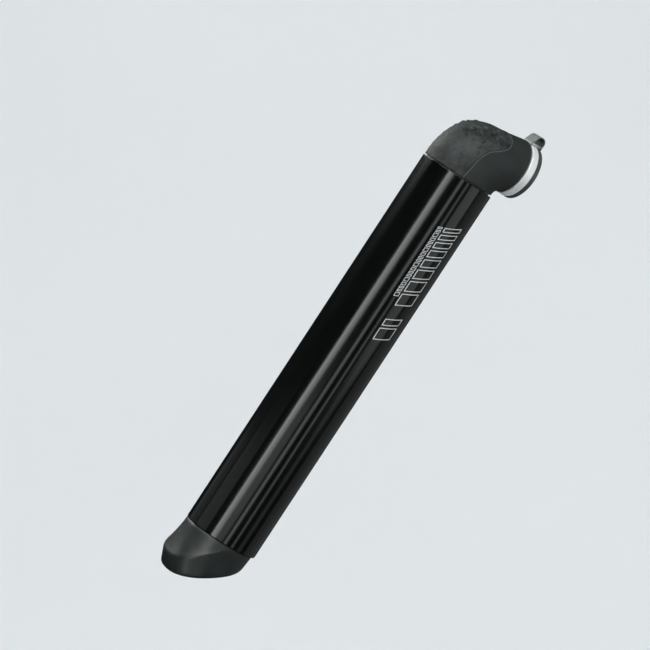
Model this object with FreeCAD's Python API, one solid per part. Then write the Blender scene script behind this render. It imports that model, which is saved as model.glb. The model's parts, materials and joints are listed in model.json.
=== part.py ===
"""Bicycle mini pump with an angled valve head, a sliding outer sleeve and a slanted palm foot.

Frame: millimetres, +Z along the pump's axis towards the head, +X the way the valve outlet points.
The origin is the middle of the outer sleeve, where a carrier's strap or clip grips it.

The sleeve and the palm foot are the handle. The piston rod hangs in the foot and can swivel there. The head and
the inner barrel slide over the rod's piston and out of the sleeve along +Z. The rubber dust cap swings on its tether.
"""

import FreeCAD, Part
import math
import os

from FreeCAD import Vector

ORIGIN = Vector(0, 0, 0)
X_AXIS = Vector(1, 0, 0)
Y_AXIS = Vector(0, 1, 0)
Z_AXIS = Vector(0, 0, 1)

# ---- Driving dimensions --------------------------------------------------------------------------
SLEEVE_LENGTH = 144.0
SLEEVE_RADIUS = 13.3
SLEEVE_WALL = 0.8
BARREL_RADIUS = 11.0
BARREL_WALL = 1.0
ROD_RADIUS = 4.0
ROD_TOP = 58.0
HEAD_GAP = 0.4  # between the sleeve's top edge and the head
FOOT_GAP = 0.25  # shadow line between the sleeve and the foot
VALVE_HEIGHT = 12.2  # valve axis above the head's base
VALVE_STEM_RADIUS = 3.9  # the gasket's bore, for a car-type valve stem
FIT = 0.05  # radial room of a part that is pressed, screwed or glued in place
RUN = 0.06  # radial room of a part that slides or turns
THREAD_RADIUS = 2.0
THREAD_DEPTH = 12.0

# ---- Levels along the pump's axis ----------------------------------------------------------------
SLEEVE_TOP = SLEEVE_LENGTH / 2
SLEEVE_BOTTOM = -SLEEVE_LENGTH / 2
SLEEVE_BORE = SLEEVE_RADIUS - SLEEVE_WALL
PRESSED_RADIUS = SLEEVE_BORE - 0.02  # parts pressed into the sleeve
BARREL_BORE = BARREL_RADIUS - BARREL_WALL
HEAD_BASE = SLEEVE_TOP + HEAD_GAP
FOOT_TOP = SLEEVE_BOTTOM - FOOT_GAP
VALVE_Z = HEAD_BASE + VALVE_HEIGHT

WEB_BOTTOM = SLEEVE_BOTTOM + 1.0  # the web in the foot core that the rod turns in
WEB_TOP = WEB_BOTTOM + 9.0
CLIP_BOTTOM = WEB_TOP + 0.1
CLIP_THICKNESS = 1.0
ROD_BOTTOM = WEB_BOTTOM - 0.15
GLAND_BOTTOM = CLIP_BOTTOM + CLIP_THICKNESS + 0.9
BARREL_BOTTOM = GLAND_BOTTOM + 3.0
GLAND_TOP = GLAND_BOTTOM + 7.5
SKIRT_TOP = GLAND_BOTTOM + 7.0
BARREL_TOP = HEAD_BASE + 3.6
PLUG_BOTTOM = HEAD_BASE - 1.4
PLUG_TOP = BARREL_TOP + 1.0

# ---- Positions along the valve axis --------------------------------------------------------------
HEAD_END = 15.5  # the head's flat face, behind the tether's ring
TETHER_THICKNESS = 0.55
TETHER_WIDTH = 5.8
COLLAR_BACK = HEAD_END + TETHER_THICKNESS
COLLAR_FRONT = 18.8
COLLAR_RADIUS = 9.8
COLLAR_OPENING = 4.7
CAP_THICKNESS = 1.7
CAP_RADIUS = 9.75
CHUCK_BORE = 6.6
CHUCK_RADIUS = CHUCK_BORE - FIT  # parts held in the chuck's bore
CHUCK_FLOOR = 5.0
DEPRESSOR_BACK = 6.5
DEPRESSOR_FRONT = DEPRESSOR_BACK + 1.8
WASHER_FRONT = DEPRESSOR_FRONT + 0.8
GASKET_SHOULDER = WASHER_FRONT + 2.8
GASKET_FRONT = 17.6
GASKET_NECK = 5.25  # inside of the collar's neck, round the gasket
LOOP_X = 18.3  # centre of the tether's loop
LOOP_Z = HEAD_BASE + 23.75
LOOP_RADIUS = 1.65
CAP_TAB_TOP = VALVE_Z + CAP_RADIUS + 0.7  # where the tether's strap joins the cap

# ---- Piston --------------------------------------------------------------------------------------
PISTON_RADIUS = BARREL_BORE - 0.1
PISTON_TOP = ROD_TOP + 9.0
SEAL_SECTION = 0.93
SEAL_RADIUS = BARREL_BORE - 0.04 - SEAL_SECTION
SEAL_Z = ROD_TOP + 5.0
BUMPER_RADIUS = 8.0
BUMPER_BOTTOM = ROD_TOP - 4.0
SCREW_WASHER_RADIUS = 5.0
ROD_WASHER_THICKNESS = 1.0
PISTON_WASHER_THICKNESS = 0.8

# ---- Check valve ---------------------------------------------------------------------------------
BALL_RADIUS = 2.0
SEAT_RADIUS = 1.5
BALL_CHAMBER_RADIUS = 2.6
SEAT_Z = PLUG_BOTTOM + 1.5
BALL_Z = SEAT_Z + math.sqrt(BALL_RADIUS**2 - SEAT_RADIUS**2)
SPRING_TOP = HEAD_BASE + 8.6
SPRING_RADIUS = 1.55
SPRING_WIRE = 0.25
SPRING_TURNS = 6
PLUG_SEAL_SECTION = 0.9
PLUG_SEAL_RADIUS = BARREL_BORE - 0.02 - PLUG_SEAL_SECTION
PLUG_SEAL_Z = PLUG_BOTTOM + 3.1
AIR_PASSAGE_RADIUS = 1.3

# ---- The head's sweep: oval sections in planes that turn about a line at the elbow's inner corner --
# (plane's angle in degrees, reach to the outer profile, half width across)
HEAD_SECTIONS = (
    (0.0, 28.3, 12.85),
    (12.5, 28.45, 12.8),
    (25.0, 28.4, 12.55),
    (37.5, 27.7, 12.2),
    (50.0, 25.35, 11.7),
    (62.5, 22.8, 11.1),
    (76.0, 21.85, 10.4),
    (90.0, 21.95, 9.87),
)
HEAD_INNER_REACH = 2.6  # from the turning line to the elbow's inner side, at the base
HEAD_INNER_NARROWING = 0.35  # how much nearer the inner side comes by the valve end
GRIP_PROUD = 0.25
GRIP_DEPTH = 0.9
# the grip's edge in side view, from the base to above the head: (x, height above the head's base)
GRIP_EDGE = ((-5.0, -0.5), (-4.3, 3.2), (-3.2, 8.0), (-1.0, 11.8), (2.8, 14.3), (5.6, 16.4), (6.8, 18.9), (7.1, 24.0))

# ---- The foot's sweep: oval sections in planes that turn about a line beyond the heel --------------
# (plane's angle in degrees, reach to the toe, reach to the heel, half width across)
FOOT_TURN_X = 19.6
FOOT_INSTEP = (
    (0.0, 32.75, 7.05, 13.15),
    (5.0, 33.15, 7.1, 13.1),
    (10.0, 34.1, 7.25, 13.0),
    (15.0, 35.5, 7.55, 12.9),
    (20.5, 36.7, 8.0, 12.8),
)
FOOT_SOLE = (30.9, 36.95, 9.4, 12.45)
SOLE_ROUNDING = 1.8
SPIGOT_RADIUS = 9.0
SPIGOT_BOTTOM = SLEEVE_BOTTOM - 4.0


# ---- Helpers -------------------------------------------------------------------------------------
def cylinder_z(radius, bottom, top):
    return Part.makeCylinder(radius, top - bottom, Vector(0, 0, bottom), Z_AXIS)


def tube_z(outer, inner, bottom, top):
    return cylinder_z(outer, bottom, top).cut(cylinder_z(inner, bottom - 1, top + 1))


def cylinder_x(radius, back, front):
    """A cylinder on the valve axis."""
    return Part.makeCylinder(radius, front - back, Vector(back, 0, VALVE_Z), X_AXIS)


def tube_x(outer, inner, back, front):
    return cylinder_x(outer, back, front).cut(cylinder_x(inner, back - 1, front + 1))


def revolved(points, centre=ORIGIN, axis=Z_AXIS):
    """A solid of revolution about the axis through centre, from (radius, distance along the axis) points."""
    corners = [centre + Y_AXIS * r + axis * d for r, d in points]
    face = Part.Face(Part.makePolygon(corners + corners[:1]))
    return face.revolve(centre, axis, 360)


def round_edges(shape, radius, wanted):
    """Rounds the edges that the test picks."""
    return shape.makeFillet(radius, [e for e in shape.Edges if wanted(e)])


def chamfer_edges(shape, size, wanted):
    return shape.makeChamfer(size, [e for e in shape.Edges if wanted(e)])


def is_circle(edge, radius):
    return isinstance(edge.Curve, Part.Circle) and abs(edge.Curve.Radius - radius) < 1e-3


def circle_at_z(edge, radius, z):
    """True for a circle of that radius about the pump's axis at that height."""
    return is_circle(edge, radius) and abs(edge.CenterOfMass.z - z) < 1e-3


def circle_at_x(edge, radius, x):
    """True for a circle of that radius about the valve axis at that distance."""
    return is_circle(edge, radius) and abs(edge.CenterOfMass.x - x) < 1e-3


def oval_wire(turning_line, slope, near, far, half_width):
    """An oval across the symmetry plane, in the plane that leaves the turning line at the slope in degrees.

    Near and far are its two ends' distances from that line.
    """
    outward = Vector(-math.cos(math.radians(slope)), 0, math.sin(math.radians(slope)))
    centre = turning_line + outward * ((near + far) / 2)
    half_length = (far - near) / 2
    count = 48
    points = []
    for i in range(count):
        t = 2 * math.pi * i / count
        points.append(centre + outward * (half_length * math.cos(t)) + Y_AXIS * (half_width * math.sin(t)))
    curve = Part.BSplineCurve()
    curve.interpolate(Points=points, PeriodicFlag=True)
    return Part.Wire(curve.toShape())


# ---- Sleeve and foot -----------------------------------------------------------------------------
def outer_sleeve():
    tube = tube_z(SLEEVE_RADIUS, SLEEVE_BORE, SLEEVE_BOTTOM, SLEEVE_TOP)
    return chamfer_edges(tube, 0.15, lambda e: abs(abs(e.CenterOfMass.z) - SLEEVE_TOP) < 1e-3)


def sleeve_bush():
    """Plastic guide ring pressed into the sleeve's mouth; the barrel slides in it."""
    top = SLEEVE_TOP - 0.4
    bottom = top - 8.0
    ring = tube_z(PRESSED_RADIUS, BARREL_RADIUS + RUN, bottom, top)
    glue_groove = tube_z(SLEEVE_BORE, SLEEVE_BORE - 0.4, bottom + 3.4, bottom + 4.6)
    return ring.cut(glue_groove)


def foot_outline():
    """The foot's outer shape: an instep that flares from the sleeve to a slanted sole."""
    turning_line = Vector(FOOT_TURN_X, 0, FOOT_TOP)
    wires = [oval_wire(turning_line, -angle, heel, toe, width) for angle, toe, heel, width in FOOT_INSTEP]
    angle, toe, heel, width = FOOT_SOLE
    sole = oval_wire(turning_line, -angle, heel, toe, width)
    instep = Part.makeLoft(wires, True, False)
    pad = Part.makeLoft([wires[-1], sole], True, True)
    shape = instep.fuse(pad).removeSplitter()
    lowest = FOOT_TOP + shape.BoundBox.ZLength * -0.95
    return round_edges(shape, SOLE_ROUNDING, lambda e: e.BoundBox.ZMin < lowest and e.BoundBox.YLength > 2 * SPIGOT_RADIUS)


def palm_foot():
    """Soft outer foot, hollow where the core's spigot enters."""
    socket = cylinder_z(SPIGOT_RADIUS + FIT, SPIGOT_BOTTOM - 0.2, FOOT_TOP + 1)
    return foot_outline().cut(socket)


def foot_core():
    """Rigid core: a plug pressed into the sleeve, a web the rod turns in and a spigot that holds the foot."""
    boss_radius = ROD_RADIUS + 2.0
    floor_thickness = 2.5
    rib_thickness = 1.4
    plug = cylinder_z(PRESSED_RADIUS, SLEEVE_BOTTOM, WEB_TOP)
    ledge = cylinder_z(SLEEVE_BORE - 0.4, FOOT_TOP, SLEEVE_BOTTOM)
    spigot = cylinder_z(SPIGOT_RADIUS, SPIGOT_BOTTOM, FOOT_TOP)
    core = plug.fuse([ledge, spigot]).removeSplitter()
    hollow = tube_z(SLEEVE_BORE - 1.6, boss_radius, WEB_BOTTOM + floor_thickness, WEB_TOP + 1)
    for i in range(4):
        start = Vector(0, -rib_thickness / 2, WEB_BOTTOM)
        rib = Part.makeBox(SLEEVE_BORE, rib_thickness, SLEEVE_BORE, start)
        rib.rotate(ORIGIN, Z_AXIS, 45 + 90 * i)
        hollow = hollow.cut(rib)
    rod_bore = cylinder_z(ROD_RADIUS + RUN, WEB_BOTTOM - 1, WEB_TOP + 1)
    screw_pocket = cylinder_z(SCREW_WASHER_RADIUS + 0.5, SPIGOT_BOTTOM - 1, WEB_BOTTOM)
    return core.cut(hollow).cut(rod_bore).cut(screw_pocket)


# ---- Rod and piston ------------------------------------------------------------------------------
def piston_rod():
    """Rod with a tapped hole at each end and a groove for the clip."""
    rod = cylinder_z(ROD_RADIUS, ROD_BOTTOM, ROD_TOP)
    lower_hole = cylinder_z(THREAD_RADIUS + FIT, ROD_BOTTOM - 1, ROD_BOTTOM + THREAD_DEPTH)
    upper_hole = cylinder_z(THREAD_RADIUS + FIT, ROD_TOP - THREAD_DEPTH, ROD_TOP + 1)
    groove = tube_z(ROD_RADIUS + 1, ROD_RADIUS - 0.4, CLIP_BOTTOM, CLIP_BOTTOM + CLIP_THICKNESS)
    return rod.cut(lower_hole).cut(upper_hole).cut(groove)


def retaining_clip():
    """Open spring clip in the rod's groove, above the foot core's web."""
    mouth_width = 5.0
    ring = tube_z(6.4, ROD_RADIUS - 0.38, CLIP_BOTTOM, CLIP_BOTTOM + CLIP_THICKNESS)
    mouth = Part.makeBox(7, mouth_width, 3, Vector(0, -mouth_width / 2, CLIP_BOTTOM - 1))
    return ring.cut(mouth)


def socket_screw(head_radius, head_height, shank_length, seat, sign):
    """A cap screw with a hexagon socket. Sign is +1 where its head is above the seat, -1 below."""
    key_radius = 1.7
    head_end = seat + sign * head_height
    shank_end = seat - sign * shank_length
    head = cylinder_z(head_radius, min(seat, head_end), max(seat, head_end))
    head = round_edges(head, 0.4, lambda e: circle_at_z(e, head_radius, head_end))
    shank = cylinder_z(THREAD_RADIUS, min(seat, shank_end), max(seat, shank_end))
    corners = []
    for i in range(7):
        turn = math.radians(60 * i)
        corners.append(Vector(key_radius * math.cos(turn), key_radius * math.sin(turn), head_end))
    key = Part.Face(Part.makePolygon(corners)).extrude(Vector(0, 0, -sign * head_height * 0.6))
    return head.fuse(shank).removeSplitter().cut(key)


def rod_washer():
    return tube_z(SCREW_WASHER_RADIUS, THREAD_RADIUS + FIT, ROD_BOTTOM - ROD_WASHER_THICKNESS, ROD_BOTTOM)


def rod_screw():
    return socket_screw(4.2, 2.6, THREAD_DEPTH - 1.0, ROD_BOTTOM - ROD_WASHER_THICKNESS, -1)


def piston_bumper():
    """Rubber ring that meets the gland at the end of the stroke."""
    ring = tube_z(BUMPER_RADIUS, ROD_RADIUS, BUMPER_BOTTOM, ROD_TOP)
    return round_edges(ring, 0.8, lambda e: circle_at_z(e, BUMPER_RADIUS, BUMPER_BOTTOM))


def piston():
    """Piston with a seal groove, a waist below it and six slots through its skirt."""
    body = cylinder_z(PISTON_RADIUS, ROD_TOP, PISTON_TOP)
    body = chamfer_edges(body, 0.5, lambda e: circle_at_z(e, PISTON_RADIUS, PISTON_TOP))
    seal_groove = tube_z(BARREL_BORE, SEAL_RADIUS - SEAL_SECTION, SEAL_Z - 1.2, SEAL_Z + 1.2)
    waist = tube_z(BARREL_BORE, PISTON_RADIUS - 1.2, ROD_TOP + 1.5, ROD_TOP + 3.0)
    screw_hole = cylinder_z(THREAD_RADIUS + FIT, ROD_TOP - 1, PISTON_TOP + 1)
    body = body.cut(seal_groove).cut(waist).cut(screw_hole)
    for i in range(6):
        slot = cylinder_z(0.9, ROD_TOP - 1, ROD_TOP + 2)
        slot.translate(Vector(PISTON_RADIUS, 0, 0))
        slot.rotate(ORIGIN, Z_AXIS, 60 * i)
        body = body.cut(slot)
    return body


def piston_seal():
    return Part.makeTorus(SEAL_RADIUS, SEAL_SECTION, Vector(0, 0, SEAL_Z), Z_AXIS)


def piston_washer():
    return tube_z(SCREW_WASHER_RADIUS, THREAD_RADIUS + FIT, PISTON_TOP, PISTON_TOP + PISTON_WASHER_THICKNESS)


def piston_screw():
    seat = PISTON_TOP + PISTON_WASHER_THICKNESS
    return socket_screw(3.6, 2.4, seat - ROD_TOP + THREAD_DEPTH - 2.0, seat, 1)


# ---- Barrel --------------------------------------------------------------------------------------
def inner_barrel():
    tube = tube_z(BARREL_RADIUS, BARREL_BORE, BARREL_BOTTOM, BARREL_TOP)
    return chamfer_edges(tube, 0.15, lambda e: circle_at_z(e, BARREL_BORE, BARREL_BOTTOM))


WIPER_RADIUS = ROD_RADIUS + 1.6
WIPER_BOTTOM = BARREL_BOTTOM + 1.0
WIPER_TOP = BARREL_BOTTOM + 2.8


def rod_gland():
    """Cap on the barrel's lower end. It guides the rod and runs in the sleeve."""
    skirt = SLEEVE_BORE - 0.1
    edge = 0.4
    bore = ROD_RADIUS + 0.08
    barrel_outside = BARREL_RADIUS + 0.02
    barrel_inside = BARREL_BORE - FIT
    return revolved([
        (bore, GLAND_BOTTOM),
        (skirt - edge, GLAND_BOTTOM),
        (skirt, GLAND_BOTTOM + edge),
        (skirt, SKIRT_TOP),
        (barrel_outside, SKIRT_TOP),
        (barrel_outside, BARREL_BOTTOM),
        (barrel_inside, BARREL_BOTTOM),
        (barrel_inside, GLAND_TOP),
        (bore, GLAND_TOP),
        (bore, WIPER_TOP),
        (WIPER_RADIUS, WIPER_TOP),
        (WIPER_RADIUS, WIPER_BOTTOM),
        (bore, WIPER_BOTTOM),
    ])


def rod_wiper():
    """Wiper ring in the gland's groove."""
    return tube_z(WIPER_RADIUS - 0.02, ROD_RADIUS + 0.05, WIPER_BOTTOM + 0.05, WIPER_TOP - 0.05)


def stop_ring():
    """Rubber ring round the barrel under the head, which meets the sleeve's bush when the pump is shut."""
    return tube_z(SLEEVE_BORE - 0.3, BARREL_RADIUS + 0.02, SLEEVE_TOP - 0.3, HEAD_BASE - 0.02)


def valve_plug():
    """Plug in the barrel's upper end, with the check valve's seat and chamber."""
    radius = BARREL_BORE - FIT
    edge = 0.6
    groove_floor = PLUG_SEAL_RADIUS - PLUG_SEAL_SECTION
    groove_half = 1.1
    return revolved([
        (SEAT_RADIUS, PLUG_BOTTOM),
        (radius - edge, PLUG_BOTTOM),
        (radius, PLUG_BOTTOM + edge),
        (radius, PLUG_SEAL_Z - groove_half),
        (groove_floor, PLUG_SEAL_Z - groove_half),
        (groove_floor, PLUG_SEAL_Z + groove_half),
        (radius, PLUG_SEAL_Z + groove_half),
        (radius, BARREL_TOP),
        (BARREL_RADIUS, BARREL_TOP),
        (BARREL_RADIUS, PLUG_TOP),
        (BALL_CHAMBER_RADIUS, PLUG_TOP),
        (BALL_CHAMBER_RADIUS, SEAT_Z),
        (SEAT_RADIUS, SEAT_Z),
    ])


def barrel_oring():
    return Part.makeTorus(PLUG_SEAL_RADIUS, PLUG_SEAL_SECTION, Vector(0, 0, PLUG_SEAL_Z), Z_AXIS)


def check_ball():
    return Part.makeSphere(BALL_RADIUS, Vector(0, 0, BALL_Z))


def check_spring():
    """Compression spring from the ball up to the step in the head's passage."""
    low = BALL_Z + math.sqrt((BALL_RADIUS + SPRING_WIRE) ** 2 - SPRING_RADIUS**2) + 0.02
    high = SPRING_TOP - SPRING_WIRE - 0.02
    helix = Part.makeHelix((high - low) / SPRING_TURNS, high - low, SPRING_RADIUS)
    helix.translate(Vector(0, 0, low))
    section = Part.Wire(Part.Edge(Part.Circle(Vector(SPRING_RADIUS, 0, low), Y_AXIS, SPRING_WIRE)))
    return Part.Wire(helix.Edges).makePipeShell([section], True, True)


# ---- Head ----------------------------------------------------------------------------------------
def head_outline(growth=0.0):
    """The elbow's outer shape, grown all round except on its two flat ends."""
    turning_line = Vector(HEAD_END, 0, HEAD_BASE)
    wires = []
    for angle, reach, width in HEAD_SECTIONS:
        near = HEAD_INNER_REACH - HEAD_INNER_NARROWING * angle / 90.0
        wires.append(oval_wire(turning_line, angle, near - growth, reach + growth, width + growth))
    return Part.makeLoft(wires, True, False)


def grip_zone():
    """A prism across the head whose side view is the textured grip's area."""
    side = -2 * SLEEVE_RADIUS  # beyond the head, on one side and at the back
    curve = Part.BSplineCurve()
    curve.interpolate([Vector(x, side, HEAD_BASE + height) for x, height in GRIP_EDGE])
    low = curve.value(curve.FirstParameter)
    high = curve.value(curve.LastParameter)
    back = Part.makePolygon([high, Vector(side, side, high.z), Vector(side, side, low.z), low])
    outline = Part.Wire([curve.toShape()] + back.Edges)
    return Part.Face(outline).extrude(Y_AXIS * (-2 * side))


def head_grip():
    """Soft textured skin over the back and top of the head, a little proud of the rigid body."""
    return head_outline(GRIP_PROUD).common(grip_zone()).cut(head_outline(-GRIP_DEPTH))


def head_body():
    """Rigid head: socket for the barrel, spring chamber, air passage and the chuck's bore."""
    body = head_outline().cut(grip_zone().cut(head_outline(-GRIP_DEPTH)))
    cavities = [
        cylinder_z(BARREL_RADIUS + 0.03, HEAD_BASE - 1, PLUG_TOP),
        cylinder_z(BALL_CHAMBER_RADIUS, BARREL_TOP, SPRING_TOP),
        cylinder_z(AIR_PASSAGE_RADIUS, SPRING_TOP - 1, VALVE_Z),
        cylinder_x(AIR_PASSAGE_RADIUS, -AIR_PASSAGE_RADIUS, CHUCK_FLOOR + 1),
        cylinder_x(CHUCK_BORE, CHUCK_FLOOR, HEAD_END + 1),
    ]
    for cavity in cavities:
        body = body.cut(cavity)
    return body


# ---- Chuck ---------------------------------------------------------------------------------------
def pin_depressor():
    """Disc with a centre pin that opens a car-type valve, and air holes round it."""
    disc = cylinder_x(CHUCK_RADIUS, DEPRESSOR_BACK, DEPRESSOR_FRONT)
    pin = cylinder_x(1.0, DEPRESSOR_FRONT, DEPRESSOR_FRONT + 1.6)
    body = disc.fuse(pin).removeSplitter()
    for i in range(5):
        hole = cylinder_x(0.7, DEPRESSOR_BACK - 1, DEPRESSOR_FRONT + 1)
        hole.translate(Z_AXIS * 3.0)
        hole.rotate(Vector(0, 0, VALVE_Z), X_AXIS, 72 * i)
        body = body.cut(hole)
    return body


def gasket_washer():
    return tube_x(CHUCK_RADIUS, 4.4, DEPRESSOR_FRONT, WASHER_FRONT)


def valve_gasket():
    """Rubber sleeve that grips the valve stem."""
    relief_radius = 4.6
    relief_depth = 1.1
    outline = [
        (relief_radius, WASHER_FRONT),
        (CHUCK_RADIUS, WASHER_FRONT),
        (CHUCK_RADIUS, GASKET_SHOULDER),
        (GASKET_NECK - FIT, GASKET_SHOULDER),
        (GASKET_NECK - FIT, GASKET_FRONT),
        (VALVE_STEM_RADIUS, GASKET_FRONT),
        (VALVE_STEM_RADIUS, WASHER_FRONT + relief_depth),
        (relief_radius, WASHER_FRONT + relief_depth),
    ]
    return revolved(outline, Vector(0, 0, VALVE_Z), X_AXIS)


def chuck_collar():
    """Bright metal nut: a wide front ring, and a neck screwed into the head round the gasket."""
    edge = 0.35
    opening_edge = 0.2
    cavity_end = GASKET_FRONT + FIT
    outline = [
        (GASKET_NECK, GASKET_SHOULDER + 0.1),
        (CHUCK_RADIUS, GASKET_SHOULDER + 0.1),
        (CHUCK_RADIUS, COLLAR_BACK),
        (COLLAR_RADIUS - edge, COLLAR_BACK),
        (COLLAR_RADIUS, COLLAR_BACK + edge),
        (COLLAR_RADIUS, COLLAR_FRONT - edge),
        (COLLAR_RADIUS - edge, COLLAR_FRONT),
        (COLLAR_OPENING + opening_edge, COLLAR_FRONT),
        (COLLAR_OPENING, COLLAR_FRONT - opening_edge),
        (COLLAR_OPENING, cavity_end),
        (GASKET_NECK, cavity_end),
    ]
    return revolved(outline, Vector(0, 0, VALVE_Z), X_AXIS)


# ---- Dust cap and its tether ---------------------------------------------------------------------
def dust_cap():
    """Flat rubber cap with a locating plug, a slightly dished face and the tab that the tether joins."""
    front = COLLAR_FRONT + CAP_THICKNESS
    plug_radius = COLLAR_OPENING - 0.3
    plug_back = GASKET_FRONT + 0.4
    dish_radius = 30.0
    dish_depth = 0.45
    disc = cylinder_x(CAP_RADIUS, COLLAR_FRONT, front)
    disc = round_edges(disc, 0.45, lambda e: circle_at_x(e, CAP_RADIUS, front))
    disc = disc.cut(Part.makeSphere(dish_radius, Vector(front + dish_radius - dish_depth, 0, VALVE_Z)))
    plug = cylinder_x(plug_radius, plug_back, COLLAR_FRONT)
    plug = chamfer_edges(plug, 0.3, lambda e: circle_at_x(e, plug_radius, plug_back))
    tab_back = LOOP_X + LOOP_RADIUS - TETHER_THICKNESS / 2 - 0.05
    tab_low = CAP_TAB_TOP - 2.8
    corner = Vector(tab_back, -TETHER_WIDTH / 2, tab_low)
    tab = Part.makeBox(TETHER_THICKNESS, TETHER_WIDTH, CAP_TAB_TOP - tab_low, corner)
    return disc.fuse([plug, tab]).removeSplitter()


def tether_path():
    """The strap's centre line: up from the ring, over the loop and down to the cap's tab."""
    foot = Vector((HEAD_END + COLLAR_BACK) / 2, 0, VALVE_Z + COLLAR_RADIUS - 0.65)
    rise = Vector(foot.x, 0, VALVE_Z + COLLAR_RADIUS + 0.15)
    centre = Vector(LOOP_X, 0, LOOP_Z)
    back = rise - centre
    touch_angle = math.atan2(back.z, back.x) - math.acos(LOOP_RADIUS / back.Length)
    touch = centre + Vector(math.cos(touch_angle), 0, math.sin(touch_angle)) * LOOP_RADIUS
    top = centre + Z_AXIS * LOOP_RADIUS
    front = centre + X_AXIS * LOOP_RADIUS
    end = Vector(front.x - 0.05, 0, CAP_TAB_TOP + TETHER_THICKNESS / 2 + 0.03)
    return Part.Wire([
        Part.LineSegment(foot, rise).toShape(),
        Part.LineSegment(rise, touch).toShape(),
        Part.Arc(touch, top, front).toShape(),
        Part.LineSegment(front, end).toShape(),
    ])


def tether():
    """Flat ring held behind the collar, with a strap that loops over to the cap."""
    ring = tube_x(COLLAR_RADIUS - 0.25, CHUCK_BORE + 0.02, HEAD_END, COLLAR_BACK)
    outline = tether_path().makeOffset2D(TETHER_THICKNESS / 2, 0, False, False)
    strap = Part.Face(outline).extrude(Y_AXIS * TETHER_WIDTH)
    strap.translate(Y_AXIS * (-TETHER_WIDTH / 2))
    return ring.fuse(strap).removeSplitter()


PARTS = (
    outer_sleeve,
    sleeve_bush,
    palm_foot,
    foot_core,
    piston_rod,
    retaining_clip,
    rod_washer,
    rod_screw,
    piston_bumper,
    piston,
    piston_seal,
    piston_washer,
    piston_screw,
    inner_barrel,
    rod_gland,
    rod_wiper,
    stop_ring,
    valve_plug,
    barrel_oring,
    check_ball,
    check_spring,
    head_body,
    head_grip,
    pin_depressor,
    gasket_washer,
    valve_gasket,
    chuck_collar,
    tether,
    dust_cap,
)


def main():
    os.makedirs("parts", exist_ok=True)
    for make in PARTS:
        name = make.__name__
        shape = make()
        if not shape.isValid() or len(shape.Solids) != 1:
            raise ValueError(f"{name} is not one valid solid")
        print(f"{name}: {shape.Volume:.1f} mm3")
        shape.exportStep(f"parts/{name}.step")


main()
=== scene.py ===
import json
import math

import bmesh
import bpy
import numpy as np
from mathutils import Matrix, Quaternion, Vector


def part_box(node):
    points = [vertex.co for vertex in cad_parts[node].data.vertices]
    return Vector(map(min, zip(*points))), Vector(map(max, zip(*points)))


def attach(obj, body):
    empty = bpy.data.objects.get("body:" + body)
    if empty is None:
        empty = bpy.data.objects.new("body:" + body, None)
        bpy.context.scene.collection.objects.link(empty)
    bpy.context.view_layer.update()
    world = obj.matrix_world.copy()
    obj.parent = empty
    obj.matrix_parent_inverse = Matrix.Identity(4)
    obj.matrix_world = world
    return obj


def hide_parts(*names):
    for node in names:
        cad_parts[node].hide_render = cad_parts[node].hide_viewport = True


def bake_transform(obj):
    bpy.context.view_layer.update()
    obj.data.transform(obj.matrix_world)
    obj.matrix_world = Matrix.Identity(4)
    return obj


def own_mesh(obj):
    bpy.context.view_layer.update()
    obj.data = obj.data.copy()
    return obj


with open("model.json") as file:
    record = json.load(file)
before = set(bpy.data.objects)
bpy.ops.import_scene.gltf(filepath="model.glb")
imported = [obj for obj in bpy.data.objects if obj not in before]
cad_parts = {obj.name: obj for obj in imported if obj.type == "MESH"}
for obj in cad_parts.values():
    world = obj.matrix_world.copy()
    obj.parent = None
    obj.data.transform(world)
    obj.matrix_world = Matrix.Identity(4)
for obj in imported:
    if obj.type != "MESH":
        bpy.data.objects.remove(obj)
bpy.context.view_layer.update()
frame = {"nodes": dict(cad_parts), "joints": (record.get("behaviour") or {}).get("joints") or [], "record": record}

MM = 0.001

# ---- Places and sizes from the frame ----
sleeve_low, sleeve_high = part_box("outer_sleeve")
SLEEVE_RADIUS = (sleeve_high.y - sleeve_low.y) / 2
SLEEVE_BOTTOM = sleeve_low.z
SLEEVE_TOP = sleeve_high.z
SLEEVE_WALL = 0.8 * MM
SLEEVE_BORE = SLEEVE_RADIUS - SLEEVE_WALL

HEAD_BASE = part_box("head_grip")[0].z
HEAD_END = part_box("tether")[0].x
FOOT_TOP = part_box("palm_foot")[1].z

collar_low, collar_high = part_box("chuck_collar")
COLLAR_RADIUS = (collar_high.y - collar_low.y) / 2
TETHER_THICKNESS = 0.55 * MM
COLLAR_BACK = HEAD_END + TETHER_THICKNESS
COLLAR_FRONT = collar_high.x
VALVE_Z = (collar_low.z + collar_high.z) / 2
CHUCK_BORE = 6.6 * MM
CHUCK_FLOOR = 5.0 * MM

barrel_low, barrel_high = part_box("inner_barrel")
BARREL_RADIUS = (barrel_high.y - barrel_low.y) / 2
BARREL_WALL = 1.0 * MM
BARREL_BORE = BARREL_RADIUS - BARREL_WALL

CAP_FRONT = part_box("dust_cap")[1].x
CAP_RADIUS = 9.75 * MM
TETHER_HALF_WIDTH = 2.9 * MM
cap_hinge = next(joint for joint in frame["joints"] if joint["name"] == "cap_swing")
LOOP_RADIUS = 1.65 * MM
LOOP_X = cap_hinge["pos_m"][0]
LOOP_Z = cap_hinge["pos_m"][2] - LOOP_RADIUS

# ---- The head's sweep, as in the CAD model ----
# Oval sections in planes that turn about a line at the elbow's inner corner
HEAD_ANGLES = (0.0, 12.5, 25.0, 37.5, 50.0, 62.5, 76.0, 90.0)
HEAD_REACHES = (28.3, 28.45, 28.4, 27.7, 25.35, 22.8, 21.85, 21.95)
HEAD_HALF_WIDTHS = (12.85, 12.8, 12.55, 12.2, 11.7, 11.1, 10.4, 9.87)
HEAD_INNER_REACH = 2.6
HEAD_INNER_NARROWING = 0.35
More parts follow.
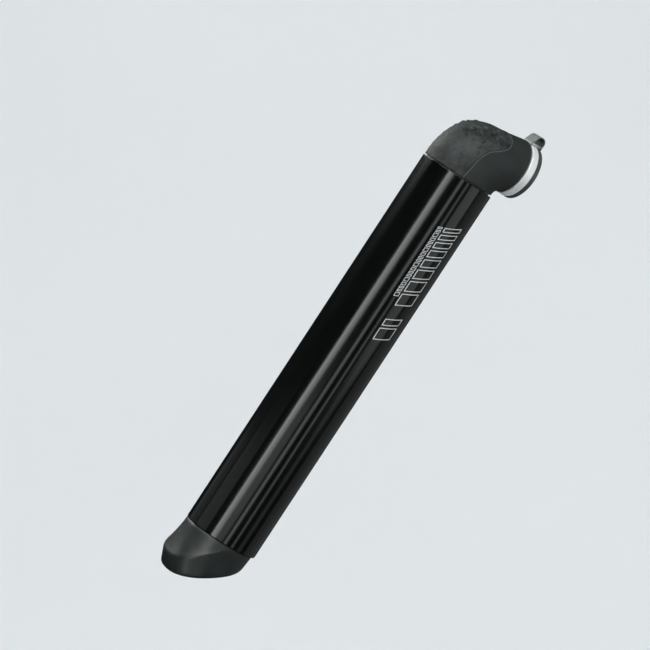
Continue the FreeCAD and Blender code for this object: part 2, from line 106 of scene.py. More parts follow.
# The grip's edge in side view, from the base to above the head: (x, height above the head's base)
GRIP_EDGE = (
    (-5.0, -0.5), (-4.3, 3.2), (-3.2, 8.0), (-1.0, 11.8), (2.8, 14.3), (5.6, 16.4), (6.8, 18.9), (7.1, 24.0),
)
GRIP_PROUD = 0.25
GRIP_DEPTH = 0.88
GRIP_START = 0.02  # from the edge line to the skin's edge
GRIP_ROUNDING = 0.3
BODY_LIP = 0.1  # rounding of the rigid head's edge beside the grip
LIP_WIDTH = 0.34  # a fine bead round the grip
LIP_HEIGHT = 0.14
LIP_DEPTH = 0.05
RECESS_FLOOR = -0.92  # under the grip
BASE_ROUNDING = 0.35
END_ROUNDING = 0.4


# ---- Mesh helpers ----
def finish_mesh(name, bm, body, slot, replaced=(), sharp=35, material=None):
    """Turns a bmesh into a smooth-shaded piece that rides on a body and stands for CAD nodes."""
    bmesh.ops.recalc_face_normals(bm, faces=bm.faces)
    mesh = bpy.data.meshes.new(name)
    bm.to_mesh(mesh)
    bm.free()
    mesh.shade_smooth()
    mesh.set_sharp_from_angle(angle=math.radians(sharp))
    mesh.materials.append(material or MATERIALS[slot])
    piece = bpy.data.objects.new(name, mesh)
    bpy.context.scene.collection.objects.link(piece)
    if body:
        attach(piece, body)
    if replaced:
        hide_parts(*replaced)
    return piece


def join_loops(bm, first, second, closed=True):
    """Faces between two rows of points of the same length."""
    count = len(first)
    for i in range(count if closed else count - 1):
        j = (i + 1) % count
        bm.faces.new((first[i], first[j], second[j], second[i]))


def join_rows(bm, rows, round_again=False):
    """Faces between each closed row of points and the next."""
    following = rows[1:] + rows[:1] if round_again else rows[1:]
    for first, second in zip(rows, following):
        join_loops(bm, first, second)


def join_fan(bm, ring, pole):
    """Faces between a closed ring and one point."""
    for i in range(len(ring)):
        bm.faces.new((ring[i], ring[(i + 1) % len(ring)], pole))


def ring_of_points(bm, count, place):
    """Points evenly round a circle, where place(turn) is."""
    return [bm.verts.new(place(2 * math.pi * i / count)) for i in range(count)]


def rounded_outline(corners, closed=True, steps=6):
    """Points of an outline whose corners (u, v, rounding) are arcs, with a support point beside each arc."""
    count = len(corners)
    points = []
    for i, (u, v, rounding) in enumerate(corners):
        here = np.array((u, v), float)
        at_end = not closed and i in (0, count - 1)
        if rounding <= 0 or at_end:
            points.append(here)
            continue
        before = np.array(corners[i - 1][:2], float) - here
        after = np.array(corners[(i + 1) % count][:2], float) - here
        before_length = np.linalg.norm(before)
        after_length = np.linalg.norm(after)
        before /= before_length
        after /= after_length
        turn = math.acos(np.clip(before @ after, -1, 1))
        setback = rounding / math.tan(turn / 2)
        bisector = before + after
        centre = here + bisector / np.linalg.norm(bisector) * (rounding / math.sin(turn / 2))
        start = here + before * setback
        end = here + after * setback
        support = 0.35 * rounding
        room_needed = setback * 2.2 + support
        if before_length > room_needed:
            points.append(start + before * support)
        for k in range(steps + 1):
            share = k / steps
            direction = (start - centre) * (1 - share) + (end - centre) * share
            points.append(centre + direction / np.linalg.norm(direction) * rounding)
        if after_length > room_needed:
            points.append(end + after * support)
    return points


def turned(name, outline, segments, body, slot, replaced=(), axis="z", closed=True, sharp=35, material=None):
    """A turned piece: (radius, distance) points in mm spun about the pump's axis or the valve's axis."""
    bm = bmesh.new()
    rows = []
    for radius, distance in outline:
        def place(turn):
            across = radius * math.cos(turn) * MM
            along = radius * math.sin(turn) * MM
            if axis == "z":
                return across, along, distance * MM
            return distance * MM, across, VALVE_Z + along

        on_axis = radius < 1e-6
        rows.append(ring_of_points(bm, 1 if on_axis else segments, place))
    for i in range(len(rows) if closed else len(rows) - 1):
        first = rows[i]
        second = rows[(i + 1) % len(rows)]
        if len(first) == 1 and len(second) == 1:
            continue
        if len(first) > 1 and len(second) > 1:
            join_loops(bm, first, second)
            continue
        if len(first) == 1:
            join_fan(bm, second, first[0])
        else:
            join_fan(bm, first, second[0])
    return finish_mesh(name, bm, body, slot, replaced, sharp, material)


def smooth_curve(knots, values, x):
    """A cubic curve through the knots."""
    knots = np.array(knots, float)
    values = np.array(values, float)
    slopes = np.gradient(values, knots)
    i = np.clip(np.searchsorted(knots, x, side="right") - 1, 0, len(knots) - 2)
    span = knots[i + 1] - knots[i]
    t = (x - knots[i]) / span
    return (
        values[i] * (2 * t**3 - 3 * t**2 + 1)
        + slopes[i] * span * (t**3 - 2 * t**2 + t)
        + values[i + 1] * (3 * t**2 - 2 * t**3)
        + slopes[i + 1] * span * (t**3 - t**2)
    )


def smoothstep(low, high, x):
    """From 0 at low to 1 at high."""
    t = np.clip((x - low) / (high - low), 0, 1)
    return t * t * (3 - 2 * t)


def edge_drop(distance, rounding):
    """How far a surface has dropped at a distance from an edge rounded by an arc."""
    short = np.clip(rounding - distance, 0, rounding)
    return rounding - np.sqrt(rounding**2 - short**2)


# ---- Material helpers ----
def node(tree, kind, inputs=None, **settings):
    """A shader node, with links or values on its inputs."""
    new = tree.nodes.new(kind)
    for key, value in settings.items():
        setattr(new, key, value)
    for key, value in (inputs or {}).items():
        if isinstance(value, bpy.types.NodeSocket):
            tree.links.new(value, new.inputs[key])
        else:
            new.inputs[key].default_value = value
    return new


def noise(tree, size, detail=2.0, stretch=(1, 1, 1), roughness=0.5):
    """Noise whose features are about that many mm across, in the piece's own coordinates."""
    place = node(tree, "ShaderNodeTexCoord").outputs["Object"]
    scaled = node(tree, "ShaderNodeMapping", {"Vector": place, "Scale": stretch}).outputs["Vector"]
    inputs = {"Vector": scaled, "Scale": 1 / (size * MM), "Detail": detail, "Roughness": roughness}
    return node(tree, "ShaderNodeTexNoise", inputs).outputs["Fac"]


def between(tree, value, low, high, start=0.3, stop=0.7):
    """The value from start to stop, spread over low to high."""
    inputs = {"Value": value, "From Min": start, "From Max": stop, "To Min": low, "To Max": high}
    return node(tree, "ShaderNodeMapRange", inputs).outputs["Result"]


def colours(tree, value, first, second):
    """A colour from the first to the second."""
    mix = node(tree, "ShaderNodeMix", data_type="RGBA")
    tree.links.new(value, mix.inputs["Factor"])
    # the colour sockets share their names with the float ones, so they are set by place
    mix.inputs[6].default_value = (*first, 1)
    mix.inputs[7].default_value = (*second, 1)
    return mix.outputs[2]


def bump(tree, height, depth, before=None):
    """A bump of that many mm, on top of another bump."""
    inputs = {"Height": height, "Distance": depth * MM, "Strength": 1.0}
    if before is not None:
        inputs["Normal"] = before
    return node(tree, "ShaderNodeBump", inputs).outputs["Normal"]


def start_material(name, metallic=0.0, ior=1.5):
    material = bpy.data.materials.new(name)
    material.use_nodes = True
    shader = material.node_tree.nodes["Principled BSDF"]
    shader.inputs["Metallic"].default_value = metallic
    shader.inputs["IOR"].default_value = ior
    return material, material.node_tree, shader.inputs


def link_surface(tree, shader, base_colour, roughness, normal):
    tree.links.new(base_colour, shader["Base Color"])
    tree.links.new(roughness, shader["Roughness"])
    tree.links.new(normal, shader["Normal"])


def added(tree, first, second):
    return node(tree, "ShaderNodeMath", {0: first, 1: second}, operation="ADD").outputs[0]


def moulded(name, dark, light, rough, grain, grain_depth, ior=1.5):
    """Moulded plastic or rubber: fine grain, faint patches of colour and gloss, and a slight swell."""
    material, tree, shader = start_material(name, ior=ior)
    patches = noise(tree, 7.0, 3)
    fine = noise(tree, grain, 3, roughness=0.6)
    shade = between(tree, added(tree, patches, fine), 0, 1, 0.75, 1.25)
    swelling = bump(tree, noise(tree, 2.6, 2), 0.012)
    link_surface(tree, shader, colours(tree, shade, dark, light), between(tree, patches, *rough),
                 bump(tree, fine, grain_depth, swelling))
    return material


def drawn_metal(name, dark, light, rough, line_depth, along="z", metallic=1.0):
    """Drawn or turned metal with fine lines: along the axis when drawn, round it when turned."""
    material, tree, shader = start_material(name, metallic=metallic)
    stretch = {"z": (1, 1, 0.012), "round_x": (1, 0.03, 0.03), "round_z": (0.03, 0.03, 1)}[along]
    lines = noise(tree, 0.16, 3, stretch, 0.6)
    tone = added(tree, lines, noise(tree, 9.0, 2))
    link_surface(tree, shader, colours(tree, between(tree, tone, 0, 1, 0.75, 1.25), dark, light),
                 between(tree, tone, *rough, 0.75, 1.25), bump(tree, lines, line_depth))
    return material


# ---- Materials ----
def anodised_material():
    """Gloss black anodised tube: near-black, with faint drawing lines and a slight orange peel."""
    material, tree, shader = start_material("gloss_black_anodised", ior=1.52)
    lines = noise(tree, 0.5, 3, (1, 1, 0.01), 0.6)
    cloud = noise(tree, 14.0, 3)
    base = colours(tree, between(tree, cloud, 0, 1), (0.0006, 0.0009, 0.0009), (0.0014, 0.0018, 0.0018))
    peel = bump(tree, noise(tree, 1.3, 2), 0.0012)
    link_surface(tree, shader, base, between(tree, lines, 0.11, 0.17), bump(tree, lines, 0.0014, peel))
    return material


def grip_material():
    """Soft grip rubber with a coarse leathery grain: paler specks, darker pits and faint patches."""
    material, tree, shader = start_material("grip_grained_rubber", ior=1.4)
    patches = noise(tree, 6.0, 2)
    leather = noise(tree, 1.5, 3, roughness=0.65)
    fine = noise(tree, 0.4, 2, roughness=0.6)
    shade = between(tree, added(tree, leather, patches), 0, 1, 0.7, 1.3)
    base = colours(tree, shade, (0.0035, 0.0046, 0.0044), (0.0235, 0.027, 0.0266))
    pits = bump(tree, leather, 0.26)
    link_surface(tree, shader, base, between(tree, leather, 0.5, 0.75), bump(tree, fine, 0.05, pits))
    return material


def tether_rubber():
    """Grey rubber, pale on the outside of the strap's loop as a painted highlight and dark inside it as painted
    shade, with uneven patches in the pale part.
    """
    material, tree, shader = start_material("tether_grey_rubber")
    place = node(tree, "ShaderNodeTexCoord").outputs["Object"]
    loop_axis = (LOOP_X, 0, LOOP_Z)
    from_axis = node(tree, "ShaderNodeVectorMath", {0: place, 1: loop_axis}, operation="SUBTRACT").outputs[0]
    flat = node(tree, "ShaderNodeVectorMath", {0: from_axis, 1: (1, 0, 1)}, operation="MULTIPLY").outputs[0]
    distance = node(tree, "ShaderNodeVectorMath", {0: flat}, operation="LENGTH").outputs["Value"]
    half_fade = 0.12 * MM
    # painted light: 1 outside the loop's radius, where the painted highlight goes, and 0 inside it, where the
    # painted shade goes
    outside = between(tree, distance, 0, 1, LOOP_RADIUS - half_fade, LOOP_RADIUS + half_fade)
    highlight_patches = between(tree, noise(tree, 1.2, 3), 0.7, 1.0)
    # the painted highlight on the loop's outside, broken into uneven patches
    painted_highlight_outside = node(tree, "ShaderNodeMath", {0: outside, 1: highlight_patches}, operation="MULTIPLY").outputs[0]
    link_surface(tree, shader, colours(tree, painted_highlight_outside, (0.012, 0.0135, 0.0135), (0.1, 0.107, 0.107)),
                 between(tree, outside, 0.75, 0.48, 0, 1), bump(tree, noise(tree, 0.3, 3), 0.01))
    return material


def ink_material():
    """Pale printed ink, slightly uneven."""
    material, tree, shader = start_material("pale_print_ink")
    blotches = noise(tree, 0.5, 3)
    base = colours(tree, between(tree, blotches, 0, 1), (0.26, 0.27, 0.275), (0.42, 0.43, 0.435))
    link_surface(tree, shader, base, between(tree, blotches, 0.4, 0.6), bump(tree, blotches, 0.002))
    return material


# Moulded: dark and light colour, roughness, grain size and depth in mm, and refraction
MOULDED = {
    "inner_plastic": (
        "inner_satin_plastic", (0.03, 0.03, 0.031), (0.05, 0.05, 0.052), (0.4, 0.55), 0.25, 0.01,
    ),
    "foot_plastic": (
        "foot_satin_plastic", (0.006, 0.0076, 0.0073), (0.010, 0.0124, 0.012), (0.34, 0.42), 0.3, 0.010,
    ),
    "seal_rubber": (
        "smooth_seal_rubber", (0.012, 0.012, 0.012), (0.024, 0.024, 0.024), (0.4, 0.55), 0.3, 0.006,
    ),
    "head_plastic": (
        "head_matt_plastic", (0.009, 0.0112, 0.0108), (0.0135, 0.0162, 0.0156),
        (0.5, 0.62), 0.35, 0.022, 1.42,
    ),
    "pin_plastic": ("natural_pin_plastic", (0.55, 0.54, 0.5), (0.68, 0.67, 0.64), (0.35, 0.5), 0.4, 0.008),
    "cap_rubber": ("cap_matt_rubber", (0.02, 0.0225, 0.0225), (0.034, 0.037, 0.037), (0.4, 0.52), 0.3, 0.010),
    # grip_lip: the bead's pale colour is a painted highlight along the grip's edge, not the rubber's own tone
    "grip_lip": ("grip_lip_painted_highlight", (0.034, 0.038, 0.0375), (0.055, 0.06, 0.0595), (0.5, 0.62), 0.3, 0.01),
}
# Drawn or turned: dark and light colour, roughness, line depth in mm, direction and metalness
DRAWN = {
    "rod_aluminium": ("drawn_rod_aluminium", (0.6, 0.6, 0.61), (0.75, 0.75, 0.76), (0.18, 0.3), 0.001),
    "spring_steel": ("bright_spring_steel", (0.4, 0.4, 0.41), (0.55, 0.55, 0.56), (0.25, 0.35), 0.001),
    "screw_steel": ("zinc_plated_steel", (0.45, 0.45, 0.46), (0.6, 0.6, 0.6), (0.28, 0.42), 0.002, "round_z"),
    "barrel_aluminium": (
        "drawn_barrel_aluminium", (0.62, 0.63, 0.64), (0.76, 0.77, 0.78), (0.16, 0.27), 0.0012,
    ),
    "collar_aluminium": (
        "turned_collar_aluminium", (0.52, 0.535, 0.54), (0.64, 0.655, 0.66),
        (0.36, 0.48), 0.003, "round_x", 0.4,
    ),
}
MATERIALS = {slot: moulded(*values) for slot, values in MOULDED.items()}
MATERIALS.update({slot: drawn_metal(*values) for slot, values in DRAWN.items()})
MATERIALS["black_anodised"] = anodised_material()
MATERIALS["grip_rubber"] = grip_material()
INK = ink_material()

for part in frame["record"]["subparts"]:
    mesh = frame["nodes"][part["node"]].data
    mesh.materials.clear()
    mesh.materials.append(MATERIALS[part["material_slot"]])


# ---- Head ----
def head_section(angle):
    """The middle, the half length and the half width of the oval at an angle, in mm."""
    reach = smooth_curve(HEAD_ANGLES, HEAD_REACHES, angle)
    near = HEAD_INNER_REACH - HEAD_INNER_NARROWING * angle / 90
    return (reach + near) / 2, (reach - near) / 2, smooth_curve(HEAD_ANGLES, HEAD_HALF_WIDTHS, angle)


def head_point(angle, turn):
    """The head's outer surface, in mm, about the pump's axis and from the head's base."""
    middle, half_length, half_width = head_section(angle)
    out = middle + half_length * np.cos(turn)
    radians = np.radians(angle)
    x = HEAD_END / MM - out * np.cos(radians)
    return np.stack([x, half_width * np.sin(turn), out * np.sin(radians)], axis=-1)


def head_normal(angle, turn):
    """The outward direction at a point of the head."""
    step = 0.02
    by_angle = head_point(np.minimum(angle + step, 90), turn) - head_point(np.maximum(angle - step, 0), turn)
    by_turn = head_point(angle, turn + step) - head_point(angle, turn - step)
    normal = np.cross(by_angle, by_turn)
    normal /= np.linalg.norm(normal, axis=-1, keepdims=True)
    middle = head_section(angle)[0]
    radians = np.radians(angle)
    centre = [HEAD_END / MM - middle * np.cos(radians), 0 * middle, middle * np.sin(radians)]
    facing = np.sum(normal * (head_point(angle, turn) - np.stack(centre, axis=-1)), axis=-1)
    return normal * np.sign(facing)[..., None]


def grip_edge_line():
    """Close points along the grip's edge in side view."""
    knots = np.arange(len(GRIP_EDGE), dtype=float)
    along = np.linspace(0, len(GRIP_EDGE) - 1, 500)
    xs = smooth_curve(knots, [x for x, _ in GRIP_EDGE], along)
    heights = smooth_curve(knots, [height for _, height in GRIP_EDGE], along)
    return np.stack([xs, heights], axis=-1)


def grip_distance(points):
    """How far inside the grip's area a point is in side view, in mm. It is negative outside."""
    line = grip_edge_line()
    starts = line[:-1]
    spans = line[1:] - line[:-1]
    result = np.empty(len(points))
    for low in range(0, len(points), 4000):
        flat = points[low:low + 4000][:, None, [0, 2]] - starts[None]
        share = np.clip(np.sum(flat * spans, -1) / np.sum(spans * spans, -1), 0, 1)
        gap = flat - share[..., None] * spans
        distance = np.linalg.norm(gap, axis=-1)
        nearest = np.argmin(distance, axis=1)
        rows = np.arange(len(nearest))
        span = spans[nearest]
        offset = flat[rows, nearest]
        side = span[:, 0] * offset[:, 1] - span[:, 1] * offset[:, 0]
        result[low:low + 4000] = distance[rows, nearest] * np.sign(side)
    return result


def graded(first, last, count, rows_at_ends):
    """Numbers from first to last, with more of them near both ends."""
    middle = np.linspace(first, last, count)
    start = [first + step for step in rows_at_ends]
    end = [last - step for step in rows_at_ends]
    inner = [value for value in middle if first + rows_at_ends[-1] < value < last - rows_at_ends[-1]]
    return np.array([first] + start + inner + end[::-1] + [last])


SHELL_GRID = (110, 240)  # rows along the head and columns round it
SKIN_GRID = (225, 400)
# angles in from both ends that have a row of their own
END_ROWS = (0.06, 0.14, 0.25, 0.38, 0.52, 0.68, 0.86, 1.2, 1.7, 2.3, 3.1, 4.1, 5.3)


def head_grid(rows, columns, levels):
    """The head's surface in (angle, turn), cut along lines at fixed distances inside the grip's edge."""
    bm = bmesh.new()
    angle_layer = bm.verts.layers.float.new("angle")
    turn_layer = bm.verts.layers.float.new("turn")
    inside_layer = bm.verts.layers.float.new("inside")
    angles = graded(0.0, 90.0, rows, END_ROWS)
    turns = -math.pi + 2 * math.pi * np.arange(columns) / columns
    all_angles, all_turns = np.meshgrid(angles, turns, indexing="ij")
    inside = grip_distance(head_point(all_angles.ravel(), all_turns.ravel())).reshape(all_angles.shape)
    grid = []
    for i in range(len(angles)):
        row = []
        for j in range(columns):
            vert = bm.verts.new()
            vert[angle_layer] = angles[i]
            vert[turn_layer] = turns[j]
            vert[inside_layer] = inside[i, j]
            row.append(vert)
        grid.append(row)
    for i in range(len(angles) - 1):
        join_loops(bm, grid[i], grid[i + 1])
    for level in levels:
        cut_along(bm, (angle_layer, turn_layer), inside_layer, level)
    return bm, angle_layer, turn_layer, inside_layer


def cut_along(bm, carried, layer, level):
    """Cuts the mesh along the line where the layer has that level."""
    snap = 0.006
    touching = []
    for vert in bm.verts:
        if abs(vert[layer] - level) < snap:
            vert[layer] = level
            touching.append(vert)
    crossing = []
    for edge in bm.edges:
        a, b = edge.verts
        gap_a = a[layer] - level
        gap_b = b[layer] - level
        if gap_a * gap_b < -1e-12:
            crossing.append((edge, a, b, gap_a / (gap_a - gap_b)))
    for edge, a, b, share in crossing:
        values = [a[item] + (b[item] - a[item]) * share for item in carried]
        vert = bmesh.utils.edge_split(edge, a, share)[1]
        for item, value in zip(carried, values):
            vert[item] = value
        vert[layer] = level
        touching.append(vert)
    bmesh.ops.connect_verts(bm, verts=touching)


def layer_values(verts, layer):
    return np.array([vert[layer] for vert in verts])


def place_on_head(verts, layers, drop):
    """Moves the points onto the head's surface, pushed out by drop(points, angle, turn, inside), in mm."""
    angle, turn, inside = (layer_values(verts, layer) for layer in layers)
    points = head_point(angle, turn)
    moved = points + head_normal(angle, turn) * drop(points, angle, turn, inside)[:, None]
    # rounding never carries a point past the flat ends
    at_base = angle <= 0
    at_end = angle >= 90
    moved[at_base, 2] = 0
    moved[at_end, 0] = HEAD_END / MM
    for vert, point in zip(verts, moved):
        vert.co = (point[0] * MM, point[1] * MM, HEAD_BASE + point[2] * MM)


def end_drop(points):
    """The rounding of the head's base and of its valve end."""
    return edge_drop(points[:, 2], BASE_ROUNDING) + edge_drop(HEAD_END / MM - points[:, 0], END_ROUNDING)


def close_with_rings(bm, loop, centre, to_point, rings):
    """Closes a loop with rings of the given (radius, depth), ending on the axis."""
    previous = loop
    angles = [to_point(vert.co - centre) for vert in loop]
    for radius, depth, make in rings:
        if radius <= 0:
            join_fan(bm, previous, bm.verts.new(make(0, 0, depth)))
            return
        ring = [bm.verts.new(make(radius, angle, depth)) for angle in angles]
        join_loops(bm, previous, ring)
        previous = ring


def head_shell():
    """The rigid head, with the recess for the grip, the barrel's socket and the chuck's bore."""
    levels = (-BODY_LIP, -0.6 * BODY_LIP, -0.25 * BODY_LIP, 0.0, 0.02)
    bm, angle_layer, turn_layer, inside_layer = head_grid(*SHELL_GRID, levels)
    verts = list(bm.verts)

    def drop(points, angle, turn, inside):
        lip = -edge_drop(-np.minimum(inside, 0), BODY_LIP)
        lip[inside >= 0.019] = RECESS_FLOOR
        return lip - end_drop(points)

    place_on_head(verts, (angle_layer, turn_layer, inside_layer), drop)

    def loop_at(angle):
        found = [vert for vert in verts if abs(vert[angle_layer] - angle) < 1e-4]
        return sorted(found, key=lambda vert: vert[turn_layer])

    def about_pump(radius, angle, depth):
        return (radius * math.cos(angle), radius * math.sin(angle), HEAD_BASE + depth)

    def about_valve(radius, angle, depth):
        return (HEAD_END - depth, radius * math.cos(angle), VALVE_Z + radius * math.sin(angle))

    plug_top = 4.6 * MM
    spring_room = 2.6 * MM
    spring_top = 8.6 * MM
    socket = BARREL_RADIUS + 0.04 * MM
    lip = 0.2 * MM
    close_with_rings(bm, loop_at(0.0), Vector((0, 0, HEAD_BASE)), lambda p: math.atan2(p.y, p.x), (
        (socket + lip, 0, about_pump),
        (socket, lip, about_pump),
        (socket, plug_top, about_pump),
        (spring_room, plug_top, about_pump),
        (spring_room, spring_top, about_pump),
        (0, spring_top, about_pump),
    ))
    bore_depth = HEAD_END - CHUCK_FLOOR
    close_with_rings(bm, loop_at(90.0), Vector((HEAD_END, 0, VALVE_Z)), lambda p: math.atan2(p.z, p.y), (
        (CHUCK_BORE + lip, 0, about_valve),
        (CHUCK_BORE, lip, about_valve),
        (CHUCK_BORE, bore_depth, about_valve),
        (0, bore_depth, about_valve),
    ))
    finish_mesh("head_shell", bm, "barrel", "head_plastic", ["head_body"], 40)


DOT_ROW = 2.45  # along the spine
DOT_PITCH = 2.9  # across it
DOT_MARGIN = 2.6
DOT_FREE_STRIP = 4.0  # half width, along the spine
DOT_LAST_TURN = 1.9  # how far round from the spine they go


def spine_lengths():
    """Angles and how far along the spine they are, in mm."""
    angles = np.linspace(0, 90, 721)
    spine = head_point(angles, np.zeros_like(angles))
    steps = np.linalg.norm(np.diff(spine, axis=0), axis=1)
    return angles, np.concatenate([[0], np.cumsum(steps)])


def raised_dots():
    """Which dots of the staggered pattern the grip has: {(row, place)}, and their number of rows."""
    angles, lengths = spine_lengths()
    rows = int(lengths[-1] / DOT_ROW)
    kept = set()
    for row in range(1, rows):
        angle = np.interp(row * DOT_ROW, lengths, angles)
        middle, half_length, half_width = head_section(angle)
        for place in range(-8, 9):
            across = DOT_PITCH * (place + 0.5 * (row % 2))
            turn = across / ((half_length + half_width) / 2)
            if abs(turn) > DOT_LAST_TURN or abs(across) < DOT_FREE_STRIP:
                continue
            point = head_point(np.array([angle]), np.array([turn]))
            if grip_distance(point)[0] > DOT_MARGIN:
                kept.add((row, place))
    return kept


def dot_heights(angle, turn):
    """How far the raised dots stand out. They grow towards the grip's tongue."""
    angles, lengths = spine_lengths()
    kept = raised_dots()
    middle, half_length, half_width = head_section(angle)
    along = np.interp(angle, angles, lengths)
    row = np.rint(along / DOT_ROW).astype(int)
    across = turn * (half_length + half_width) / 2
    shift = 0.5 * (row % 2)
    place = np.rint(across / DOT_PITCH - shift).astype(int)
    narrowing = (middle + half_length * np.cos(turn)) / (middle + half_length)
    gap_along = (along - row * DOT_ROW) * narrowing
    gap_across = across - (place + shift) * DOT_PITCH
    growth = smoothstep(12, 18, row * DOT_ROW)
    radius = 0.45 + 0.45 * growth
    height = 0.12 + 0.2 * growth
    moat = 0.15 * growth
    away = np.hypot(gap_along, gap_across) / radius
    real = np.array([(r, p) in kept for r, p in zip(row, place)])
    dot = height * (1 - np.minimum(away, 1) ** 4)
    ring = moat * np.sin(math.pi * np.clip((away - 1) / 0.4, 0, 1))
    return np.where(real, dot - ring, 0)


def layer_on_head(name, levels, first, last, rise, depth, replaced=(), material=None):
    """A closed layer over the part of the head that is between two distances inside the grip's edge."""
    bm, angle_layer, turn_layer, inside_layer = head_grid(*SKIN_GRID, levels)
    outside = []
    for face in bm.faces:
        middle = sum(vert[inside_layer] for vert in face.verts) / len(face.verts)
        if middle < first or middle > last:
            outside.append(face)
    bmesh.ops.delete(bm, geom=outside, context="FACES")
    layers = (angle_layer, turn_layer, inside_layer)
    outer = list(bm.verts)
    faces = list(bm.faces)
    rim = [edge for edge in bm.edges if edge.is_boundary]

    def outer_drop(points, angle, turn, inside):
        return rise(angle, turn, inside) - end_drop(points)

    def inner_drop(points, angle, turn, inside):
        return np.full(len(inside), -depth)

    inner_of = {}
    for vert in outer:
        twin = bm.verts.new()
        for layer in layers:
            twin[layer] = vert[layer]
        inner_of[vert] = twin
    for face in faces:
        bm.faces.new([inner_of[vert] for vert in reversed(face.verts)])
    for edge in rim:
        a, b = edge.verts
        bm.faces.new((a, b, inner_of[b], inner_of[a]))
    place_on_head(outer, layers, outer_drop)
    place_on_head([inner_of[vert] for vert in outer], layers, inner_drop)
    finish_mesh(name, bm, "barrel", "grip_rubber", replaced, 40, material)


def grip_skin():
    """The soft skin in the head's recess, a little proud, with a rounded edge and raised dots."""
    levels = [GRIP_START + step * GRIP_ROUNDING for step in (0.0, 0.15, 0.4, 0.7, 1.0, 1.6)]

    def rise(angle, turn, inside):
        return GRIP_PROUD - edge_drop(inside - GRIP_START, GRIP_ROUNDING) + dot_heights(angle, turn)

    layer_on_head("grip_skin", levels, GRIP_START, math.inf, rise, GRIP_DEPTH, ["head_grip"])


def grip_lip():
    """The fine bead that runs round the grip's edge, whose pale colour is a painted highlight."""
    levels = [-LIP_WIDTH * step for step in (1.0, 0.85, 0.7, 0.5, 0.3, 0.15, 0.02)]

    def rise(angle, turn, inside):
        share = np.clip(-inside / LIP_WIDTH, 0, 1)
        return LIP_HEIGHT * np.sqrt(np.clip(4 * share * (1 - share), 0, 1)) + 0.01

    material = MATERIALS["grip_lip"]
    layer_on_head("grip_lip", levels, levels[0], levels[-1], rise, LIP_DEPTH, material=material)


# ---- Foot ----
FOOT_RADIUS = 13.15
HEEL_RADIUS = 12.4
SPIGOT_RADIUS = 9.05
SPIGOT_DEPTH = 4.0
# Rounded ovals in plan: (centre along X, half length, half width, squareness)
CREASE_OVAL = (-0.85, 13.65, 12.95, 2.4)
RIM_OVAL = (-0.35, 11.5, 12.25, 2.3)
# Slanted planes: (height under the foot's top at the axis, rise per mm along X)
CREASE_PLANE = (-2.35, 1.05)
SOLE_PLANE = (11.62, 0.577)
CREASE_ROUNDING = 0.75
RIM_ROUNDING = 1.7
SOLE_DOME = 0.5


def oval_point(turn, centre, half_length, half_width, squareness):
    """A point of a rounded oval in plan."""
    cosine = math.cos(turn)
    sine = math.sin(turn)
    along = half_length * math.copysign(abs(cosine) ** (2 / squareness), cosine)
    across = half_width * math.copysign(abs(sine) ** (2 / squareness), sine)
    return np.array((centre + along, across))


def soft_corner(before, corner, after, size, steps, longer=0.0):
    """A curve that rounds the corner between two neighbours, longer on its far side if wanted."""
    before_length = np.linalg.norm(before - corner)
    after_length = np.linalg.norm(after - corner)
    start = corner + (before - corner) / max(before_length, 1e-9) * min(size, 0.48 * before_length)
    end = corner + (after - corner) / max(after_length, 1e-9) * min(size + longer, 0.48 * after_length)
    shares = np.linspace(0, 1, steps)[:, None]
    return (1 - shares) ** 2 * start + 2 * shares * (1 - shares) * corner + shares**2 * end


def evenly(points, count):
    """The same path with evenly spaced points."""
    points = np.array(points)
    steps = np.linalg.norm(np.diff(points, axis=0), axis=1)
    lengths = np.concatenate([[0], np.cumsum(steps)])
    wanted = np.linspace(0, lengths[-1], count)
    return np.stack([np.interp(wanted, lengths, points[:, k]) for k in range(3)], axis=-1)


def foot_column(turn):
    """The foot's outline on one side, in mm under its top: from the top edge over the crease and the rim."""
    cosine = math.cos(turn)
    radius = FOOT_RADIUS - (FOOT_RADIUS - HEEL_RADIUS) * float(smoothstep(0.2, 0.9, cosine))
    top = np.array((radius * cosine, radius * math.sin(turn), 0.0))
    plan = oval_point(turn, *CREASE_OVAL)
    slope = CREASE_PLANE[1] * plan[0] - CREASE_PLANE[0]
    blend = 0.8
    height = -(math.sqrt(slope * slope + blend * blend) - slope) / 2 - 0.1
    low = float(smoothstep(0.1, 2.5, -height))
    crease = np.array((*(top[:2] + (plan - top[:2]) * low), height))
    plan = oval_point(turn, *RIM_OVAL)
    rim = np.array((*plan, SOLE_PLANE[1] * plan[0] - SOLE_PLANE[0]))
    middle = np.array((0.0, 0.0, -SOLE_PLANE[0]))
    flare = 1.6
    path = []
    for share in np.linspace(0, 1, 26):
        place = top[:2] + (crease[:2] - top[:2]) * share**flare
        path.append(np.array((*place, height * share)))
    fading = 4.5 * (1 - float(smoothstep(1.0, 7.0, -height)))
    at_crease = soft_corner(path[-7], crease, rim, CREASE_ROUNDING, 13, fading)
    reach = np.linalg.norm(at_crease[0] - crease)
    instep = [point for point in path if np.linalg.norm(point - crease) > reach * 1.05] or path[:1]
    at_rim = soft_corner(crease, rim, middle, RIM_ROUNDING, 15)
    return instep, at_crease, at_rim, middle


